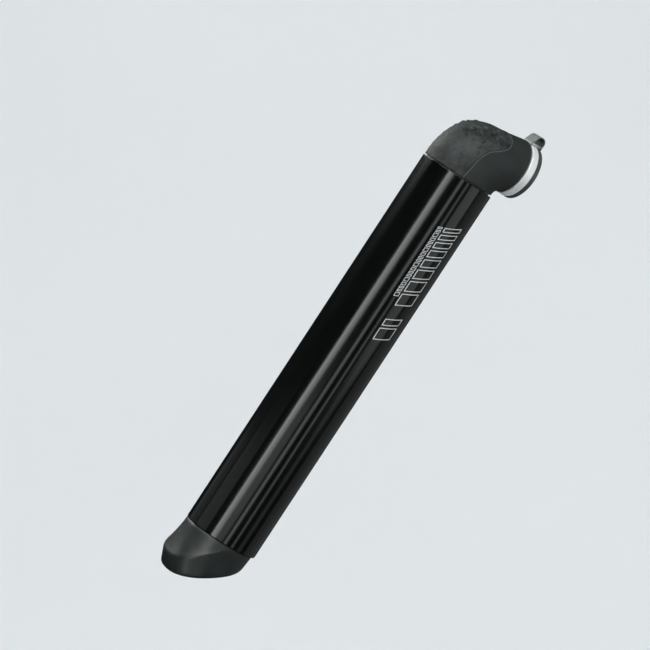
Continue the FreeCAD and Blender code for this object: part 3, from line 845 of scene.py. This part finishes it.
def palm_foot():
    """The foot: an instep that flares towards the toe, a slanted crease, and a slightly domed sole."""
    columns = 224
    edge = 0.05
    sole_rings = 26
    bm = bmesh.new()
    outlines = []
    for i in range(columns):
        instep, at_crease, at_rim, middle = foot_column(2 * math.pi * i / columns)
        top = instep[0]
        outward = np.array((*(top[:2] / np.linalg.norm(top[:2])), 0.0))
        outline = [top - outward * edge, top - outward * 0.3 * edge - (0, 0, 0.08 * edge)]
        outline.append(top - outward * 0.06 * edge - (0, 0, 0.45 * edge))
        outline += list(evenly([*instep, at_crease[0]], 20)[2:])
        outline += list(at_crease[1:])
        outline += [at_crease[-1] + (at_rim[0] - at_crease[-1]) * k / 12 for k in range(1, 12)]
        outline += list(at_rim)
        for ring in range(1, sole_rings):
            share = 1 - ring / sole_rings
            point = middle + (at_rim[-1] - middle) * share
            outline.append(point - (0, 0, SOLE_DOME * (1 - share**2)))
        outlines.append(outline)
    rows = []
    for places in zip(*outlines):
        rows.append([bm.verts.new((x * MM, y * MM, FOOT_TOP + under * MM)) for x, y, under in places])
    join_rows(bm, rows)
    bottom = bm.verts.new((0, 0, FOOT_TOP - (SOLE_PLANE[0] + SOLE_DOME) * MM))
    join_fan(bm, rows[-1], bottom)
    socket = []
    for depth in (0.0, SPIGOT_DEPTH):
        def place(turn):
            across = SPIGOT_RADIUS * math.cos(turn) * MM
            return across, SPIGOT_RADIUS * math.sin(turn) * MM, FOOT_TOP - depth * MM

        socket.append(ring_of_points(bm, columns, place))
    join_loops(bm, rows[0], socket[0])
    join_loops(bm, socket[0], socket[1])
    join_fan(bm, socket[1], bm.verts.new((0, 0, FOOT_TOP - SPIGOT_DEPTH * MM)))
    finish_mesh("palm_foot_moulding", bm, "handle", "foot_plastic", ["palm_foot"], 50)


# ---- Sleeve and barrel ----
def tube(name, outer, inner, bottom, top, segments, body, slot, replaced):
    """A plain tube along the pump's axis, with rounded ends."""
    rounding = 0.18
    outline = rounded_outline([
        (inner, bottom, rounding),
        (outer, bottom, rounding),
        (outer, top, rounding),
        (inner, top, rounding),
    ])
    turned(name, outline, segments, body, slot, replaced)


def sleeve_tube():
    """The gloss outer tube."""
    outer = SLEEVE_RADIUS / MM - INK_THICKNESS
    tube("sleeve_tube", outer, SLEEVE_BORE / MM, SLEEVE_BOTTOM / MM, SLEEVE_TOP / MM,
         256, "handle", "black_anodised", ["outer_sleeve"])


def barrel_tube():
    tube("barrel_tube", BARREL_RADIUS / MM, BARREL_BORE / MM, barrel_low.z / MM, barrel_high.z / MM,
         224, "barrel", "barrel_aluminium", ["inner_barrel"])


# ---- Print on the sleeve ----
INK_LINE = 0.3
FINE_INK_LINE = 0.2
INK_THICKNESS = 0.02  # the tube is that much under its CAD size, so that the print stays inside it
PRINT_LEFT = 267.5  # degrees round the axis
PRINT_HEIGHT = 6.7  # mm round the sleeve
PRINT_LEAN = 2.6  # mm along the sleeve
# generic slanted bars: (start along the axis, width), in mm
PRINT_BARS = (
    (25.0, 4.6), (30.5, 4.1), (35.5, 3.6), (40.0, 3.1), (44.0, 2.7), (47.6, 2.3), (50.8, 2.0), (53.7, 1.7),
    (11.6, 4.6), (17.1, 2.6),
)
SMALL_LEFT = -2.3
SMALL_RIGHT = -0.7
SMALL_LEAN = 0.6


def inset(corners, width):
    """The outline moved inwards by a width. Corners run anticlockwise."""
    moved = []
    count = len(corners)
    for i in range(count):
        here = np.array(corners[i], float)
        before = here - np.array(corners[i - 1], float)
        after = np.array(corners[(i + 1) % count], float) - here
        before /= np.linalg.norm(before)
        after /= np.linalg.norm(after)
        inward_before = np.array((-before[1], before[0]))
        inward_after = np.array((-after[1], after[0]))
        bisector = inward_before + inward_after
        moved.append(here + bisector * width / (1 + inward_before @ inward_after))
    return moved


def divided(corners, parts):
    """Points along a closed outline, with each side cut into that many parts."""
    points = []
    for i in range(len(corners)):
        start = np.array(corners[i], float)
        end = np.array(corners[(i + 1) % len(corners)], float)
        points += [start + (end - start) * k / parts for k in range(parts)]
    return points


def print_point(round_distance, height, lift):
    """A point of the print, from its place round and along the sleeve."""
    angle = math.radians(PRINT_LEFT) + round_distance * MM / SLEEVE_RADIUS
    radius = SLEEVE_RADIUS + (lift - INK_THICKNESS) * MM
    return Vector((radius * math.cos(angle), radius * math.sin(angle), height * MM))


def printed_outline(bm, corners, line, parts=14):
    """A closed printed line of a given width, wrapped round the sleeve."""
    outer = divided(corners, parts)
    inner = divided(inset(corners, line), parts)
    loops = []
    sunk = -0.01
    for points, lift in ((outer, sunk), (outer, INK_THICKNESS), (inner, INK_THICKNESS), (inner, sunk)):
        loops.append([bm.verts.new(print_point(*point, lift)) for point in points])
    join_rows(bm, loops, round_again=True)


def slanted_bar(left, right, start, width, lean):
    """The corners of a slanted bar."""
    return (left, start), (right, start + lean), (right, start + lean + width), (left, start + width)


def sleeve_print():
    """Generic slanted bars that narrow towards the head, and a row of small ones beside them."""
    bm = bmesh.new()
    for start, width in PRINT_BARS:
        printed_outline(bm, slanted_bar(0, PRINT_HEIGHT, start, width, PRINT_LEAN), INK_LINE)
    first = 27.5
    last = 54.0
    pitches = (1.9, 1.2, 1.2, 1.5)
    gap = 0.4
    start = first
    count = 0
    while start < last:
        pitch = pitches[count % len(pitches)]
        bar = slanted_bar(SMALL_LEFT, SMALL_RIGHT, start, pitch - gap, SMALL_LEAN)
        printed_outline(bm, bar, FINE_INK_LINE, 4)
        start += pitch
        count += 1
    finish_mesh("sleeve_print", bm, "handle", "black_anodised", material=INK)


# ---- Chuck collar, cap and tether ----
def collar_ring():
    """The bright collar: a wide ring, and a neck screwed into the head."""
    back = COLLAR_BACK / MM
    front = COLLAR_FRONT / MM
    radius = COLLAR_RADIUS / MM
    opening = 4.7
    neck_bore = 5.25
    neck_radius = 6.55
    neck_back = 12.2
    cavity_end = 17.65
    outline = rounded_outline([
        (neck_bore, neck_back, 0.1),
        (neck_radius, neck_back, 0.2),
        (neck_radius, back, 0.08),
        (radius, back, 0.3),
        (radius, front, 0.38),
        (opening + 1.7, front, 0.12),
        (opening + 1.5, front - 0.18, 0.1),
        (opening, front - 0.18, 0.2),
        (opening, cavity_end, 0.1),
        (neck_bore, cavity_end, 0.1),
    ])
    replaced = ["chuck_collar"]
    turned("collar_ring", outline, 192, "barrel", "collar_aluminium", replaced, axis="x", sharp=50)


def rounded_box(bm, low, high, rounding, steps=3):
    """A box with rounded edges."""
    made = bmesh.ops.create_cube(bm, size=1)["verts"]
    centre = (low + high) / 2
    size = high - low
    for vert in made:
        vert.co = Vector((vert.co.x * size.x, vert.co.y * size.y, vert.co.z * size.z)) + centre
    edges = list({edge for vert in made for edge in vert.link_edges})
    bmesh.ops.bevel(bm, geom=edges, offset=rounding, segments=steps, affect="EDGES", profile=0.5)


TAB_TOP = VALVE_Z + CAP_RADIUS + 0.7 * MM  # where the strap joins the cap
TAB_HEIGHT = 2.8 * MM


def cap_disc():
    """The dust cap: a dished rubber disc with a plug behind it and the tab that the tether joins."""
    back = COLLAR_FRONT / MM
    front = CAP_FRONT / MM
    radius = CAP_RADIUS / MM
    dish_radius = 8.0
    dish_depth = 0.42
    plug_radius = 4.35
    plug_back = 18.0
    outline = [(0.0, front - dish_depth)]
    for k in range(1, 10):
        share = k / 10
        outline.append((dish_radius * share, front - dish_depth * (1 - share**2)))
    outline += rounded_outline([
        (dish_radius, front, 0),
        (radius, front, 0.45),
        (radius, back + 0.03, 0.15),
        (plug_radius, back + 0.03, 0.1),
        (plug_radius, plug_back, 0.35),
        (0.0, plug_back, 0),
    ], closed=False)
    turned("cap_disc", outline, 160, "cap", "cap_rubber", ["dust_cap"], axis="x", closed=False, sharp=45)
    bm = bmesh.new()
    half = TETHER_THICKNESS / 2
    middle = LOOP_X + LOOP_RADIUS - 0.05 * MM
    rounded_box(bm, Vector((middle - half, -TETHER_HALF_WIDTH, TAB_TOP - TAB_HEIGHT)),
                Vector((middle + half, TETHER_HALF_WIDTH, TAB_TOP)), 0.12 * MM)
    finish_mesh("cap_tab", bm, "cap", "cap_rubber", sharp=50)


def tether_line():
    """The strap's centre line in side view, from the ring over the loop to the cap's tab: (x, z)."""
    foot = Vector((HEAD_END + TETHER_THICKNESS / 2, VALVE_Z + COLLAR_RADIUS - 1.2 * MM))
    rise = Vector((foot.x, VALVE_Z + COLLAR_RADIUS + 0.15 * MM))
    centre = Vector((LOOP_X, LOOP_Z))
    back = rise - centre
    touch = math.atan2(back.y, back.x) - math.acos(LOOP_RADIUS / back.length)
    if touch < 0:
        touch += 2 * math.pi
    points = [foot.lerp(rise, k / 4) for k in range(4)]
    at_touch = centre + Vector((math.cos(touch), math.sin(touch))) * LOOP_RADIUS
    points += [rise.lerp(at_touch, k / 6) for k in range(6)]
    for k in range(41):
        turn = touch * (1 - k / 40)
        points.append(centre + Vector((math.cos(turn), math.sin(turn))) * LOOP_RADIUS)
    end = Vector((LOOP_X + LOOP_RADIUS - 0.05 * MM, TAB_TOP - 0.3 * MM))
    points += [points[-1].lerp(end, k / 4) for k in range(1, 5)]
    return points


def tether_strap():
    """The flat ring behind the collar and its strap, which loops over to the cap and bends there."""
    bm = bmesh.new()
    line = tether_line()
    half = TETHER_THICKNESS / 2
    width = TETHER_HALF_WIDTH
    corner = 0.14 * MM
    section = rounded_outline([(-width, -half, corner), (width, -half, corner), (width, half, corner),
                               (-width, half, corner)], steps=4)
    rows = []
    for i, point in enumerate(line):
        ahead = line[min(i + 1, len(line) - 1)]
        behind = line[max(i - 1, 0)]
        direction = (ahead - behind).normalized()
        normal = Vector((-direction.y, direction.x))
        row = []
        for across, out in section:
            place = point + normal * out
            row.append(bm.verts.new((place.x, across, place.y)))
        rows.append(row)
    join_rows(bm, rows)
    bm.faces.new(rows[0])
    bm.faces.new(rows[-1][::-1])
    ring = rounded_outline([
        (6.62, HEAD_END / MM, 0.08),
        (9.4, HEAD_END / MM, 0.15),
        (9.4, COLLAR_BACK / MM, 0.15),
        (6.62, COLLAR_BACK / MM, 0.08),
    ], steps=3)
    loops = []
    for radius, distance in ring:
        def place(turn):
            return distance * MM, radius * math.cos(turn) * MM, VALVE_Z + radius * math.sin(turn) * MM

        loops.append(ring_of_points(bm, 128, place))
    join_rows(bm, loops, round_again=True)
    piece = finish_mesh("tether_strap", bm, None, None, ["tether"], 50, tether_rubber())
    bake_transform(piece)


# ---- Check spring ----
SPRING_RADIUS = 1.55 * MM
SPRING_WIRE = 0.25 * MM
SPRING_TURNS = 6


def coil_spring():
    """The check valve's coil spring, which in the real pump shortens as the ball lifts; this piece keeps one
    length.
    """
    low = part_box("check_spring")[0].z + SPRING_WIRE
    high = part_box("check_spring")[1].z - SPRING_WIRE
    rings = 48 * SPRING_TURNS
    sides = 12
    climb = (high - low) / (2 * math.pi * SPRING_TURNS * SPRING_RADIUS)
    bm = bmesh.new()
    rows = []
    for i in range(rings + 1):
        turn = 2 * math.pi * SPRING_TURNS * i / rings
        outward = Vector((math.cos(turn), math.sin(turn), 0))
        along = Vector((-math.sin(turn), math.cos(turn), climb))
        across = outward.cross(along.normalized())
        centre = outward * SPRING_RADIUS + Vector((0, 0, low + (high - low) * i / rings))

        def place(side):
            return centre + (outward * math.cos(side) + across * math.sin(side)) * SPRING_WIRE

        rows.append(ring_of_points(bm, sides, place))
    join_rows(bm, rows)
    bm.faces.new(rows[0])
    bm.faces.new(rows[-1][::-1])
    piece = finish_mesh("coil_spring", bm, "barrel", "spring_steel", ["check_spring"])
    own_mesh(piece)


head_shell()
grip_skin()
grip_lip()
palm_foot()
sleeve_tube()
barrel_tube()
sleeve_print()
collar_ring()
cap_disc()
tether_strap()
coil_spring()

# ---- Floor, backdrop and light ----
FLOOR_Z = -0.95
FLAT_RADIUS = 1.5
BOWL_RADIUS = 2.6
BOWL_TOP = 3.0


def pale_stage():
    """A pale floor that curves up into a wall all round, so that no view shows an edge."""
    material, tree, shader = start_material("pale_stage", ior=1.4)
    cloud = noise(tree, 900.0, 2)
    shade = between(tree, cloud, 0, 1)
    tree.links.new(colours(tree, shade, (0.84, 0.85, 0.86), (0.88, 0.89, 0.90)), shader["Base Color"])
    shader["Roughness"].default_value = 0.9
    shader["Specular IOR Level"].default_value = 0.0
    curve = BOWL_RADIUS - FLAT_RADIUS
    outline = [(0.0, FLOOR_Z / MM), (FLAT_RADIUS * 0.5 / MM, FLOOR_Z / MM)]
    for k in range(25):
        turn = math.radians(90 * k / 24)
        out = FLAT_RADIUS + curve * math.sin(turn)
        outline.append((out / MM, (FLOOR_Z + curve * (1 - math.cos(turn))) / MM))
    outline.append((BOWL_RADIUS / MM, BOWL_TOP / MM))
    floor = turned("stage_floor", outline, 96, None, None, closed=False, material=material)
    floor.visible_glossy = False


TARGET = Vector((0, 0, 0.005))


def towards(azimuth, elevation):
    """A direction, in degrees from the front and above the level."""
    a = math.radians(azimuth)
    e = math.radians(elevation)
    return Vector((math.sin(a) * math.cos(e), -math.cos(a) * math.cos(e), math.sin(e)))


def softbox(name, azimuth, elevation, distance, width, height, radiance, lean=0.0, glossy=True):
    """A rectangular light that faces the pump. Radiance is what its face shines with."""
    light = bpy.data.lights.new(name, "AREA")
    light.shape = "RECTANGLE"
    light.size = width
    light.size_y = height
    light.energy = math.pi * radiance * width * height
    light.color = (0.97, 1.0, 0.99)
    lamp = bpy.data.objects.new(name, light)
    direction = towards(azimuth, elevation)
    lamp.location = TARGET + direction * distance
    facing = direction.to_track_quat("Z", "Y")
    lamp.rotation_euler = (facing @ Quaternion((0, 0, 1), math.radians(lean))).to_euler()
    lamp.visible_camera = False
    lamp.visible_glossy = glossy
    bpy.context.scene.collection.objects.link(lamp)


def dim_in_gloss(world):
    """An even studio light that glossy surfaces see as dim, so that a black gloss tube stays black."""
    world.use_nodes = True
    tree = world.node_tree
    glossy = node(tree, "ShaderNodeLightPath").outputs["Is Glossy Ray"]
    background = tree.nodes["Background"]
    background.inputs["Color"].default_value = (0.95, 0.98, 1.0, 1)
    tree.links.new(between(tree, glossy, 0.42, 0.012, 0, 1), background.inputs["Strength"])


pale_stage()
softbox("main_bright", -52.7, 0, 1.0, 0.118, 1.7, 5.2)
softbox("main_middle", -45.6, 0, 1.0, 0.12, 1.7, 3.5)
softbox("main_faint", -39.8, 0, 1.0, 0.08, 1.7, 1.5)
softbox("low_middle", -28, -9.6, 1.05, 0.31, 0.15, 0.95)
softbox("strip_left", -9.0, 0, 1.3, 0.17, 1.8, 1.8)
softbox("strip_right", 8.2, 7.9, 1.3, 0.12, 1.03, 1.3, lean=20)
softbox("fill_right", 38.5, 14, 1.4, 0.8, 0.9, 0.9)
softbox("fill_low", 40, -13, 1.4, 0.28, 0.5, 0.3)
softbox("right_dim", 80, 0, 1.4, 0.95, 1.5, 0.2)
softbox("edge_right", 112, 0, 1.4, 0.6, 1.5, 0.17)
softbox("low_left", -98, -11.2, 1.1, 0.8, 0.13, 0.45)
softbox("low_back_left", -143, -11.2, 1.1, 0.8, 0.13, 0.22)
softbox("foot_rim", -150, 12.5, 1.2, 1.1, 0.28, 9.0)
softbox("key_left", -74, 31, 1.2, 0.9, 0.6, 4.2)
softbox("top_soft", -40, 66, 1.2, 0.7, 0.7, 3.2)
softbox("wall_glow", -30, 75, 1.6, 1.2, 1.2, 4.0, glossy=False)

world = bpy.data.worlds.new("studio")
bpy.context.scene.world = world
dim_in_gloss(world)

# ---- Camera ----
CAMERA_AZIMUTH = -30.0
CAMERA_DISTANCE = 1.131
CAMERA_HEIGHT = 0.0717
CAMERA_ROLL = 33.19
CAMERA_LENS = 188.3
AIM_HEIGHT = 6.29 * MM
AIM_SHIFT = -9.55 * MM


def photo_camera():
    """The camera, turned about its own axis so that the pump leans to the right."""
    level_back = towards(CAMERA_AZIMUTH, 0)
    level_right = Vector((-level_back.y, level_back.x, 0))
    location = level_back * CAMERA_DISTANCE + Vector((0, 0, CAMERA_HEIGHT))
    aim = level_right * AIM_SHIFT + Vector((0, 0, AIM_HEIGHT))
    forward = (aim - location).normalized()
    right = forward.cross(Vector((0, 0, 1))).normalized()
    up = right.cross(forward)
    roll = math.radians(CAMERA_ROLL)
    image_right = right * math.cos(roll) + up * math.sin(roll)
    image_up = up * math.cos(roll) - right * math.sin(roll)
    data = bpy.data.cameras.new("photo_camera")
    data.lens = CAMERA_LENS
    data.sensor_width = 36.0
    camera = bpy.data.objects.new("photo_camera", data)
    rotation = Matrix((image_right, image_up, -forward)).transposed().to_4x4()
    camera.matrix_world = Matrix.Translation(location) @ rotation
    bpy.context.scene.collection.objects.link(camera)
    bpy.context.scene.camera = camera


photo_camera()
bpy.context.scene.view_settings.view_transform = "Standard"
